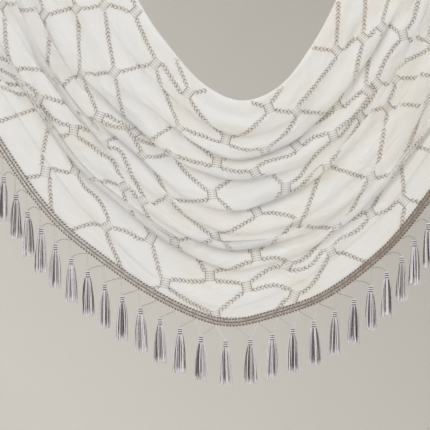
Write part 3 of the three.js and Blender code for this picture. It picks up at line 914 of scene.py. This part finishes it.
# The tassels hang by turns a little in front and behind where they are close, and lean a little.
TASSEL_PITCH = 31.5
TRIM_SHIFT = 20
TASSEL_SEED = 100
TASSEL_TILT, TILT_STEPS = 0.018, (2.3, 1.7)
# Each hangs on two threads. The higher one is paler, and both are darker where the braid is steep.
LEG_LENGTH = 25.7
LEG_SPREAD = 2.2
LEG_PROUD = 0.75
LEG_LEAD = 1.5
LEG_ROOT = (1.1, 0.0, 1.2)
LEG_POINTS = 9
LEG_SLOPES, HIGHER_LEG, LOWER_LEG = (0.1, 0.5), (0.95, 0.66), (0.72, 0.34)
SLACK_BULGE = 0.4
SLACK_WAY = np.array([0, -0.75, 0.66])
THREAD_SIDES = 5
THREAD_RADIUS = 0.55
IN_BRAID, IN_HEAD = 1.2, 2.4
NEAR_FRONT = np.array([0.01, -0.99, 0.01])
# The wound head, as radius, down and tone.
HEAD_SIDES = 10
HEAD_TURNS = (0, 6.28)
HEAD_STEPS = [
    (2.4, -0.4, 0.5), (3.5, 0.2, 0.7), (4.0, 0.9, 0.95), (4.0, 1.8, 0.95), (3.1, 2.2, 0.02),
    (3.1, 3.3, 0.02), (4.1, 3.7, 0.95), (4.1, 5.0, 0.95), (3.1, 5.4, 0.02), (3.1, 6.5, 0.02),
    (4.1, 6.9, 0.95), (4.1, 8.2, 0.95), (3.1, 8.6, 0.02), (3.1, 9.7, 0.02), (4.0, 10.2, 0.7),
    (4.5, 11.4, 0.7), (4.6, 12.8, 0.5),
]
# The skirt: rings of strands as count, reach, length and paleness, the inner rings' lower paleness
# being painted shade within the skirt, with dark and pale locks by turns as painted shade and
# painted highlight for the silk's sheen, and strands paler towards their ends.
SKIRT_STEP = 19.6
SKIRT_ROOM, SKIRT_WIDE = (19, 22), (8.4, 9.2)
SKIRT_TOP = 11.0
SKIRT_NECK = 4.3
SKIRT_LENGTH = 57.0
SKIRT_RINGS = [(22, 0.97, 1.0, 1.0), (13, 0.7, 0.92, 0.5), (7, 0.36, 0.86, 0.3)]
LOCK_PAINTED_SHEEN_AND_SHADE = [0.06, 1.0, 0.5, 1.0, 0.9, 0.18, 1.0]
LOCK_SHIFT = 0.1
PALE_ENDS, PALE_FROM, PALE_RUN = 0.9, 0.84, 0.13
STRAND_SIDES = 4
STRAND_STEPS = [(1.0, 0), (1.0, 0.1), (1.0, 0.25), (1.0, 0.5), (1.0, 0.84), (1.0, 0.97), (0.8, 1.0)]
STRAND_HALF, STRAND_SWELL, STRAND_FLATNESS = 0.74, 0.36, 0.7
STRAND_STRAY, STRAND_DRIFT, STRAND_WAVER = 0.3, 0.2, 0.6
STRAND_REACHES, STRAND_WIDTHS, STRAND_LENGTHS = (0.88, 1.04), (0.8, 1.15), (-3.2, 0.6)
FLARE_POWER, DRIFT_POWER = 3.0, 1.5
END_FROM, END_SPLAY = 0.96, 1.1
LEAST_SPREAD = 1.5


def hanging_point(left, right):
    """Where a tassel's head hangs below its two anchors: plumb under the higher one if the other
    leg is slack there, or else in the V of both legs."""
    higher, lower = (left, right) if left[2] > right[2] else (right, left)
    plumb = higher + PLUMB * LEG_LENGTH
    if np.linalg.norm(plumb - lower) <= LEG_LENGTH:
        return plumb
    chord = right - left
    drop = math.sqrt(LEG_LENGTH**2 - chord @ chord / 4)
    chord = unit(chord)
    return (left + right) / 2 + unit(PLUMB + chord * chord[2]) * drop


def thread_leg(place, down, side, tone):
    """A leg from its anchor at the braid's edge into the head's top, its spare length bulging."""
    neck = np.array(LEG_ROOT) * (side, 1, 1)
    lead = place + down * LEG_LEAD
    spare = math.sqrt(max(0, LEG_LENGTH**2 - place @ place))
    share = np.linspace(0, 1, LEG_POINTS)[:, None]
    path = lead + (neck - lead) * share
    path = path + SLACK_WAY * SLACK_BULGE * spare * 4 * share * (1 - share)
    path = np.concatenate([[place - down * IN_BRAID], path, [neck + PLUMB * IN_HEAD]])
    way = unit(np.gradient(path, axis=0))
    side_way = unit(np.cross(way, NEAR_FRONT))
    up = np.cross(side_way, way)
    turn = (np.arange(THREAD_SIDES) * 2 * math.pi / THREAD_SIDES)[None, :, None]
    ring = np.cos(turn) * side_way[:, None] + np.sin(turn) * up[:, None]
    corners = (path[:, None] + THREAD_RADIUS * ring).reshape(-1, 3)
    index = np.arange(len(corners)).reshape(-1, THREAD_SIDES)
    after = np.roll(index, -1, 1)
    fan = np.array([(0, k + 1, k + 2) for k in range(THREAD_SIDES - 2)])
    faces = np.concatenate([np.stack([index[:-1], after[:-1], after[1:]], -1).reshape(-1, 3),
                            np.stack([index[:-1], after[1:], index[1:]], -1).reshape(-1, 3),
                            index[0][fan[:, ::-1]], index[-1][fan]])
    return corners, faces, np.full(len(corners), tone)


def skirt(strand, wide, rng):
    """The skirt's strands, spreading from the head's foot, with the tassel's top at the origin."""
    corners, faces = strand
    share = -corners[:, 2]
    paler_ends = PALE_ENDS * np.clip((share - PALE_FROM) / PALE_RUN, 0, 1)
    parts = []
    for count, reach, length, pale in SKIRT_RINGS:
        # Painted shade and painted highlight: dark and pale locks by turns for the silk's sheen,
        # darker on the inner rings where shade falls inside the skirt.
        locks = np.resize(np.roll(LOCK_PAINTED_SHEEN_AND_SHADE, rng.integers(len(LOCK_PAINTED_SHEEN_AND_SHADE))), count)
        locks = pale * np.repeat(locks, rng.integers(1, 3, count))
        top = SKIRT_NECK * reach
        for k in range(count):
            turn = 2 * math.pi * (k + rng.uniform(-STRAND_STRAY, STRAND_STRAY)) / count
            foot = wide * reach * rng.uniform(*STRAND_REACHES)
            spread = top + (foot - top) * (1 - (1 - share) ** FLARE_POWER)
            waver = STRAND_WAVER * rng.uniform(-1, 1)
            spread += waver * np.sin(share * math.pi * rng.uniform(1, 2.2))
            spread += np.where(share > END_FROM, rng.uniform(0, END_SPLAY), 0)
            drift = rng.uniform(-STRAND_DRIFT, STRAND_DRIFT) * share**DRIFT_POWER
            half = (STRAND_HALF + STRAND_SWELL * share) * rng.uniform(*STRAND_WIDTHS)
            angle = turn + drift + corners[:, 1] * half / np.maximum(spread, LEAST_SPREAD)
            radius = spread + corners[:, 0] * half * STRAND_FLATNESS
            fall = SKIRT_TOP + share * (SKIRT_LENGTH * length + rng.uniform(*STRAND_LENGTHS))
            placed = np.stack([radius * np.cos(angle), radius * np.sin(angle), -fall], -1)
            tone = locks[k] + rng.uniform(-LOCK_SHIFT, LOCK_SHIFT) + paler_ends
            parts.append((placed, faces, np.clip(tone, 0, 1)))
    return joined(parts)


def tassel_piece(i, head, strand):
    """Tassel i along the braid: its head, its skirt and the two threads that it hangs on."""
    rng = np.random.default_rng(TASSEL_SEED + i)
    distance = TRIM_FROM + TRIM_SHIFT + np.array([i * TASSEL_PITCH + LEG_SPREAD / 2,
                                                  (i + 1) * TASSEL_PITCH - LEG_SPREAD / 2])
    anchors = on_braid(distance, BRAID_EDGE + SEAT, LEG_PROUD)
    downs = hem_frame(distance)[2]
    room = anchors[1][0] - anchors[0][0]
    rise = anchors[0][2] - anchors[1][2]
    apart = math.sqrt(max(0, SKIRT_STEP**2 - room**2))
    top = hanging_point(*anchors) + (0, (0.5 if i % 2 == 0 else -0.5) * apart, 0)
    slope = abs(rise) / TASSEL_PITCH
    leg_tones = [np.interp(slope, LEG_SLOPES, leg) for leg in (HIGHER_LEG, LOWER_LEG)]
    leg_tones = leg_tones if rise > 0 else leg_tones[::-1]
    legs = [thread_leg(anchors[k] - top, downs[k], (-1, 1)[k], leg_tones[k]) for k in (0, 1)]
    corners, faces, tones = skirt(strand, np.interp(room, SKIRT_ROOM, SKIRT_WIDE), rng)
    tilt = (TASSEL_TILT * math.sin(TILT_STEPS[0] * i),
            TASSEL_TILT * math.sin(TILT_STEPS[1] * i + 1))
    sink = corners[:, 2] + SKIRT_TOP
    corners = corners + np.stack([sink * tilt[1], -sink * tilt[0], 0 * sink], -1)
    turn = rng.uniform(*HEAD_TURNS)
    cos, sin = math.cos(turn), math.sin(turn)
    spun = head[0] @ np.array([[cos, -sin, 0], [sin, cos, 0], [0, 0, 1]]).T
    corners, faces, tones = joined([(spun, *head[1:]), (corners, faces, tones), *legs])
    name = f"tassel_{i + 1:02d}"
    piece = mesh_piece(name + "_yarn", corners + top, faces, SILKY_YARN, tones)
    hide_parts(name)
    return piece


def tassel_pieces():
    count = int((TRIM_TO - TRIM_FROM - TRIM_SHIFT) // TASSEL_PITCH)
    _, downs, tones = zip(*HEAD_STEPS)
    corners, faces = tapered_bar(HEAD_SIDES, [step[:2] for step in HEAD_STEPS])
    head = corners, faces, np.interp(-corners[:, 2], downs, tones)
    strand = tapered_bar(STRAND_SIDES, STRAND_STEPS)
    return [tassel_piece(i, head, strand) for i in range(count)]


# The room, in metres: a pale wall far behind, paler to the lower left and greyer upward and to the
# right as painted light and shade, a floor far below, soft light from the front left and a little
# on the back. A surface passes from one colour to the other along a way; a light has a name, place,
# aim, size, power and colour.
WALL_PAINTED_LIGHT, WALL_PAINTED_SHADE, WALL_PAINTED_SHADE_WAY, WALL_PAINTED_SHADE_SHIFT = (
    (0.86, 0.83, 0.78), (0.575, 0.55, 0.5), (0.22, 0, 0.25), 0.56)
FLOOR_NEAR, FLOOR_FAR, FLOOR_WAY, FLOOR_SHIFT = (0.6, 0.58, 0.55), (0.62, 0.6, 0.57), (0, 0.1, 0), 0
STAGE_SIZE = 40
WALL_AWAY = 8
FLOOR_LEVEL = -2.3
MOTTLE_SCALE, MOTTLE_SHARE = 1.5, 0.1
LIGHTS = [
    ("key", (-2.4, -3.0, 0.9), (0, 0, -0.55), 2.2, 17, (1, 0.995, 0.98)),
    ("fill", (2.6, -2.6, -0.4), (0, 0, -0.6), 2.5, 4.5, (1, 0.9, 0.76)),
    ("back", (2.2, 3.2, 0.5), (0, 0, -0.5), 2.5, 10, (1, 0.99, 0.97)),
]
WORLD_COLOUR, WORLD_STRENGTH = (1, 0.995, 0.985, 1), 0.91
CAMERA_PLACE = (-0.0345, -3.0, -0.6405)
CAMERA_SENSOR = 36
VIEW_WIDTH = 0.645


def plain_surface(name, near, far, way, shift):
    """A matt surface that passes from one colour to another along a way, with a faint mottle."""
    material, nodes, links, shader = new_material(name)
    place = add(nodes, "TexCoord")
    along = add(nodes, "VectorMath", {1: way}, operation="DOT_PRODUCT")
    links.new(place.outputs["Object"], along.inputs[0])
    grain = add(nodes, "TexNoise", {"Scale": MOTTLE_SCALE})
    links.new(place.outputs["Object"], grain.inputs["Vector"])
    blend = add(nodes, "Math", {1: MOTTLE_SHARE}, operation="MULTIPLY_ADD")
    links.new(grain.outputs["Fac"], blend.inputs[0])
    links.new(along.outputs["Value"], blend.inputs[2])
    shifted = add(nodes, "Math", {1: shift}, operation="ADD")
    links.new(blend.outputs[0], shifted.inputs[0])
    tint = ramp(nodes, [(0, near), (1, far)])
    links.new(shifted.outputs[0], tint.inputs["Fac"])
    links.new(tint.outputs["Color"], shader.inputs["Base Color"])
    set_inputs(shader, {"Roughness": 0.9})
    return material


def stage_plane(name, place, turn, material):
    bpy.ops.object.select_all(action="DESELECT")
    bpy.ops.mesh.primitive_plane_add(size=STAGE_SIZE, location=place, rotation=turn)
    plane = bpy.context.object
    plane.name = name
    bpy.ops.object.transform_apply(location=True, rotation=True, scale=True)
    plane.data.materials.append(material)
    plane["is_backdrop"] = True


def soft_light(name, place, aim, size, power, colour):
    light = bpy.data.lights.new(name, "AREA")
    light.size = size
    light.energy = power
    light.color = colour
    lamp = bpy.data.objects.new(name, light)
    bpy.context.collection.objects.link(lamp)
    lamp.location = place
    lamp.visible_camera = False
    way = Vector([end - start for start, end in zip(place, aim)])
    lamp.rotation_euler = way.to_track_quat("-Z", "Y").to_euler()


def room():
    # The wall's colours pass from pale to grey as painted light and shade, paler to the lower left
    # and greyer upward and to the right.
    wall = plain_surface("wall_painted_light_and_shade", WALL_PAINTED_LIGHT, WALL_PAINTED_SHADE, WALL_PAINTED_SHADE_WAY, WALL_PAINTED_SHADE_SHIFT)
    stage_plane("wall", (0, WALL_AWAY, 0), (math.pi / 2, 0, 0), wall)
    floor = plain_surface("pale_floor", FLOOR_NEAR, FLOOR_FAR, FLOOR_WAY, FLOOR_SHIFT)
    stage_plane("floor", (0, 0, FLOOR_LEVEL), (0, 0, 0), floor)
    for light in LIGHTS:
        soft_light(*light)
    world = bpy.data.worlds.new("room_light")
    world.use_nodes = True
    set_inputs(world.node_tree.nodes["Background"],
               {"Color": WORLD_COLOUR, "Strength": WORLD_STRENGTH})
    bpy.context.scene.world = world
    bpy.context.scene.view_settings.view_transform = "Standard"


def camera():
    lens = bpy.data.cameras.new("camera")
    lens.sensor_width = CAMERA_SENSOR
    lens.lens = CAMERA_SENSOR * -CAMERA_PLACE[1] / VIEW_WIDTH
    eye = bpy.data.objects.new("camera", lens)
    eye.location = CAMERA_PLACE
    eye.rotation_euler = (math.pi / 2, 0, 0)
    bpy.context.collection.objects.link(eye)
    bpy.context.scene.camera = eye


camera()
room()
cloth = cloth_piece()
embroidery = embroidery_piece()
braid = braid_piece()
tassels = tassel_pieces()

({"solid": [list(corner) for corner in solid_box],
           "visual": [list(corner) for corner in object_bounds()]})
